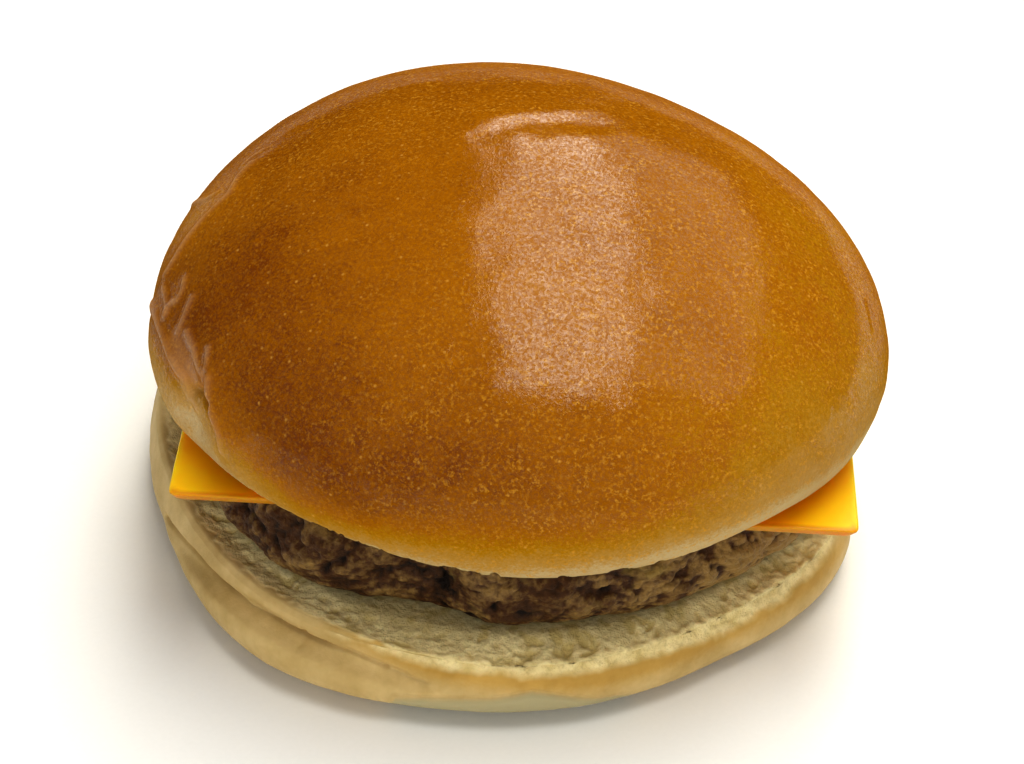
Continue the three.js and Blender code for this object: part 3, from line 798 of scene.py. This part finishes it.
def lower_bun(settings):
    """The foot, the heel and side, the cut face in to where the patty hides it, and its middle."""
    bearing = steps((190, 350, 480), (350, 550, 240))[:-1][None, :]
    centre, height, soft = LOWER_BUN.centre, LOWER_BUN.height, LOWER_BUN.crust_round
    factor = plan_factor(bearing, LOWER_BUN.plan)
    fold = swelling(bearing, FOLD.bearing, FOLD.reach)
    front = lower_bun_front(bearing)
    foot = at_radius(LOWER_BUN.foot_radius * column([0, 0.5, 0.8]) * factor, bearing, 0, centre)
    skin, torn = lower_bun_skin(bearing)

    edge = (LOWER_BUN.radius * (1 - LOWER_BUN.narrowing) - FOLD.set_back * fold) * factor - 0.12
    turn = np.radians(column([22, 45, 68, 90]))
    shoulder = at_radius(edge - soft * (1 - np.cos(turn)), bearing, height - soft + soft * np.sin(turn),
                         centre)
    inner = PATTY.radius - 5
    share = column(steps((0, 1, 52))[1:])
    cut = np.concatenate([shoulder, at_radius(mix(edge - soft, inner, share), bearing, height, centre)])
    # How far in from the crust: less than 0 on its rounded edge, which the crumb tore over at the front
    inward = np.concatenate([column(np.linspace(-0.12, 0, len(shoulder))), share])
    start = mix(0.02, -0.3, np.minimum(1, 1.6 * front))
    place = flat(cut)
    hollow = 1 - lumps(place / 4, 11)
    bend = 0.5 * wander(place / 2, 71)[..., None]
    pore = smoothstep(lumps(place / 1.9 + bend * (1, -1, 0), 21), 0.72, 0.97)
    pore *= smoothstep(wander(place / 3, 72), -0.4, 0.3)
    small = smoothstep(lumps(place / 0.95 + bend * (1, 0, 0), 25), 0.7, 0.97)
    fluff = wander(place / 0.7, 73)
    tuft = np.clip(0.5 - 0.5 * wander(place / 1.9, 81) - 0.35 * wander(place / 0.9, 85), 0, 1)
    dip = LOWER_BUN.crumb_dip * hollow + 0.5 * tuft + 0.1 * (1 - fluff)
    dip += settings.pore_depth / MM * (pore + 0.35 * small)
    radius = np.hypot(cut[..., 0], cut[..., 1])
    open_air = smoothstep(radius, PATTY.radius - 1, PATTY.radius + 2)
    cut[..., 2] -= dip * open_air * smoothstep(inward, start, start + mix(0.3, 0.4, front))
    cut[..., 2] -= 0.8 * front * (1 - smoothstep(inward, -0.12, 0.4))
    inside = at_radius(inner * column([0.5, 0]), bearing, height - 0.2, centre)

    # The browned band, which shows from the front round to the right, and the tuck under it, drawn greyer as
    # painted shade
    shown = smoothstep(bearing % 360, 238, 262) * (1 - 0.5 * smoothstep(bearing % 360, 325, 355))
    z = skin[..., 2]
    gold = shown * falloff(z - np.interp(bearing % 360, *zip(*GOLD_BAND)), 1.9)
    under = np.interp(bearing % 360, *zip(*TUCK_SHADE_EDGE), left=0, right=0)
    tuck = (1 - smoothstep(z, under - 0.5, under + 0.2)) * (under > 0.1)
    # Painted shade: the pore mark is higher in the crumb's pores and dips and in the torn dents of the side,
    # for the material to draw darker
    pore_depth = 0.4 * hollow + 0.5 * tuft + 0.8 * pore + 0.3 * small - 0.15 * fluff
    pore_depth = np.clip(mix(0.5 + 0.4 * tuft, pore_depth, smoothstep(inward, -0.15, 0.15)), 0, 1)
    # The crumb beside the patty is darker: partly juice from the patty, partly painted shade
    juice = 1 - smoothstep(radius + 1.2 * wander(place / 2.2, 84), PATTY.radius - 1.5, PATTY.radius + 2.4)
    crumb = smoothstep(inward + 0.06 * wander(place / 1.2, 74), start, start + 0.1)
    return (foot, skin, cut, inside), {
        "gold": (0, gold, gold[-1:], 0), "tuck": (0, tuck, 0, 0), "crumb": (0, torn, crumb, 1),
        "pore": (0, 0.5 + 0.5 * (1 - lumps(skin / 2.1, 82)), pore_depth, 0), "juice": (0, 0, juice, 0)}


# Settings that a user would change

def colour_setting(name, what, colour):
    return bpy.props.FloatVectorProperty(name=name, description="Colour of " + what, subtype="COLOR",
                                         size=4, min=0, max=1, default=linear(colour))


def number_setting(name, description, default, min=0, **kind):
    return bpy.props.FloatProperty(name=name, description=description, default=default, min=min, **kind)


def length_setting(name, description, default, **limits):
    return number_setting(name, description, default, unit="LENGTH", **limits)


class UpperBunSettings(bpy.types.PropertyGroup):
    """Crust and crumb of the upper bun"""

    pale: colour_setting("Pale crust", "the crust at the rim, where it hardly browned", "#C2AC80")
    golden: colour_setting("Golden crust", "the lightly browned crust", "#AC7C08")
    brown: colour_setting("Brown crust", "the well browned crust", "#915700")
    dark: colour_setting("Dark crust", "the darkest crust", "#783E00")
    crumb: colour_setting("Crumb", "the cut crumb", "#D0BE8E")
    grain_size: length_setting("Grain", "Size of the glaze's finest grain", 0.00042, min=0.0002)
    pucker_size: length_setting("Pucker size", "Distance between puckers in the glaze", 0.0012, min=0.0004)
    pucker_depth: length_setting("Pucker depth", "Depth of the puckers in the glaze", 0.00003)
    wrinkle_depth: number_setting("Wrinkles", "Strength of the wrinkles", 1.15, max=2, subtype="FACTOR")
    raggedness: length_setting("Torn edge", "Depth of the notches along the cut edge", 0.0025)
    gloss: number_setting("Gloss", "Weight of the egg wash's clear coat", 0.75, max=1, subtype="FACTOR")


class CheeseSettings(bpy.types.PropertyGroup):
    """The slice of cheese"""

    body: colour_setting("Cheese", "the slice", "#FDC800")
    # The edge colour is a painted light, for the glow through the thin edges
    edge: colour_setting("Edge", "the slice's thin upper edge", "#FACC20")
    edge_radius: length_setting("Edge radius", "Rounding of the cut edge", 0.00028, min=0.0001, max=0.0006)


class PattySettings(bpy.types.PropertyGroup):
    """The beef patty"""

    meat: colour_setting("Meat", "the cooked meat", "#52300C")
    light: colour_setting("Light meat", "the palest grains", "#9A7A40")
    # The dark meat also paints the shade in the clefts
    dark: colour_setting("Dark meat", "the seared meat and the clefts", "#1A0B01")
    fat: colour_setting("Fat", "the bits of fat", "#A68C48")
    grain_depth: length_setting("Grain depth", "Depth of the ground meat's grains", 0.0012)


class LowerBunSettings(bpy.types.PropertyGroup):
    """Crust and crumb of the lower bun"""

    side: colour_setting("Side", "the pale side", "#D5BC86")
    band: colour_setting("Band", "the browned band at the front", "#B8944A")
    crumb: colour_setting("Crumb", "the open crumb", "#FAEBB4")
    pore_depth: length_setting("Pore depth", "Depth of the pores in the crumb", 0.00035)


class StageSettings(bpy.types.PropertyGroup):
    """Floor, lights and camera"""

    paper: colour_setting("Floor", "the paper that the burger stands on", "#F4F4F3")
    lamp: colour_setting("Lamp", "the light from the two panels", "#FFFCF3")
    main_light: number_setting("Main panel", "Brightness of the panel overhead", 6.15)
    side_light: number_setting("Right panel", "Brightness of the panel to the right", 1.5)
    room_light: number_setting("Room", "Brightness of the room overhead", 0.32)
    front_light: number_setting("Front card", "Brightness of the card behind the camera", 1.6)
    lens: number_setting("Lens", "Focal length of the camera, in millimetres", 98.44, min=20)


# Operators

def dress(context, node, build, material):
    """Builds one piece of the burger over the solid that it stands for."""
    settings = getattr(context.scene, f"burger_{build.__name__}")
    runs, marks = build(settings)
    new_piece(node, runs, marks, material(settings))
    return {"FINISHED"}


class BuildLowerBun(bpy.types.Operator):
    """Build the lower bun, with its crease, browned band and open crumb"""

    bl_idname = "burger.lower_bun"
    bl_label = "Lower bun"

    def execute(self, context):
        return dress(context, "bun_bottom", lower_bun, soft_dough)


class BuildPatty(bpy.types.Operator):
    """Build the patty of coarse ground beef"""

    bl_idname = "burger.patty"
    bl_label = "Beef patty"

    def execute(self, context):
        return dress(context, "beef_patty", beef_patty, ground_beef)


class BuildCheese(bpy.types.Operator):
    """Build the slice of cheese, sagging over the patty"""

    bl_idname = "burger.cheese"
    bl_label = "Cheese slice"

    def execute(self, context):
        return dress(context, "cheese_slice", cheese_slice, processed_cheese)


class BuildUpperBun(bpy.types.Operator):
    """Build the upper bun, with its glazed and wrinkled crust"""

    bl_idname = "burger.upper_bun"
    bl_label = "Upper bun"

    def execute(self, context):
        return dress(context, "bun_top", upper_bun, glazed_crust)


def hang_panel(scene, name, brightness, size, place, colour):
    """A soft rectangular light that faces down. Its brightness is that of its own face."""
    light = bpy.data.lights.new(name, "AREA")
    light.shape = "RECTANGLE"
    light.size, light.size_y = size
    light.energy = brightness * math.pi * light.size * light.size_y
    light.color = colour[:3]
    panel = bpy.data.objects.new(name, light)
    panel.location = place
    scene.collection.objects.link(panel)
    return panel


class BuildStage(bpy.types.Operator):
    """Lay the white floor, hang the panels and the front card, and set up the room and the camera"""

    bl_idname = "burger.stage"
    bl_label = "Floor, lights and camera"

    def execute(self, context):
        scene = context.scene
        settings = scene.burger_stage
        half, low = FLOOR_HALF, -FLOOR_DROP
        corners = [(-half, -half, low), (half, -half, low), (half, half, low), (-half, half, low)]
        mesh = bpy.data.meshes.new("floor")
        mesh.from_pydata(corners, [], [(0, 1, 2, 3)])
        mesh.materials.append(white_paper(settings))
        floor = bpy.data.objects.new("floor", mesh)
        scene.collection.objects.link(floor)

        for name, brightness, ((x0, x1), (y0, y1)) in (
                ("main_panel", settings.main_light, MAIN_PANEL),
                ("right_panel", settings.side_light, RIGHT_PANEL)):
            middle = ((x0 + x1) / 2, (y0 + y1) / 2, PANEL_HEIGHT)
            hang_panel(scene, name, brightness, (x1 - x0, y1 - y0), middle, settings.lamp)
        # A wide card behind the camera lightens the shadows under the bun, and stays out of reflections
        card = hang_panel(scene, "front_card", settings.front_light, FRONT_CARD.size, FRONT_CARD.place,
                          linear("#FFFFFF"))
        card.rotation_euler = (math.radians(FRONT_CARD.tilt), 0.0, 0.0)
        card.visible_glossy = False
        # A dim room, lighter to the front
        world = bpy.data.worlds.new("white_room")
        add = empty_tree(world)
        direction = add("ShaderNodeTexCoord", output="Generated")
        direction = add("ShaderNodeSeparateXYZ", output="Y", Vector=direction)
        room = add("ShaderNodeMapRange", Value=direction, From_Min=-1.0, From_Max=0.9,
                   To_Min=1.5 * settings.room_light, To_Max=0.03)
        room = add("ShaderNodeBackground", Color=linear("#FFFFFF"), Strength=room)
        add("ShaderNodeOutputWorld", Surface=room)
        scene.world = world

        lens = bpy.data.cameras.new("camera")
        lens.sensor_width = CAMERA.sensor
        lens.lens = settings.lens
        lens.clip_start = CAMERA.nearest
        camera = bpy.data.objects.new("camera", lens)
        tilt = Matrix.Rotation(math.radians(90 - CAMERA.dip), 4, "X")
        roll = Matrix.Rotation(math.radians(CAMERA.roll), 4, "Z")
        camera.matrix_world = Matrix.Translation(CAMERA.place) @ tilt @ roll
        scene.collection.objects.link(camera)
        scene.camera = camera
        scene.view_settings.view_transform = "Standard"
        scene.view_settings.gamma = 0.8
        return {"FINISHED"}


class BurgerPanel(bpy.types.Panel):
    """Lists the burger's pieces, each with its settings"""

    bl_idname = "BURGER_PT_panel"
    bl_label = "Cheeseburger"
    bl_space_type = "VIEW_3D"
    bl_region_type = "UI"
    bl_category = "Burger"

    def draw(self, context):
        for operator, settings_name in OPERATORS:
            self.layout.operator(operator.bl_idname)
            settings = getattr(context.scene, settings_name)
            for name in settings.__annotations__:
                self.layout.prop(settings, name)


GROUPS = {
    "burger_lower_bun": LowerBunSettings,
    "burger_beef_patty": PattySettings,
    "burger_cheese_slice": CheeseSettings,
    "burger_upper_bun": UpperBunSettings,
    "burger_stage": StageSettings,
}
OPERATORS = list(zip((BuildLowerBun, BuildPatty, BuildCheese, BuildUpperBun, BuildStage), GROUPS))


def register():
    for group in GROUPS.values():
        bpy.utils.register_class(group)
    for name, group in GROUPS.items():
        setattr(bpy.types.Scene, name, bpy.props.PointerProperty(type=group))
    for operator, _ in OPERATORS:
        bpy.utils.register_class(operator)
    bpy.utils.register_class(BurgerPanel)


def unregister():
    bpy.utils.unregister_class(BurgerPanel)
    for operator, _ in reversed(OPERATORS):
        bpy.utils.unregister_class(operator)
    for name in GROUPS:
        delattr(bpy.types.Scene, name)
    for group in reversed(GROUPS.values()):
        bpy.utils.unregister_class(group)


def main():
    register()
    bpy.ops.burger.lower_bun()
    bpy.ops.burger.patty()
    bpy.ops.burger.cheese()
    bpy.ops.burger.upper_bun()
    bpy.ops.burger.stage()


if __name__ == "__main__":
    main()
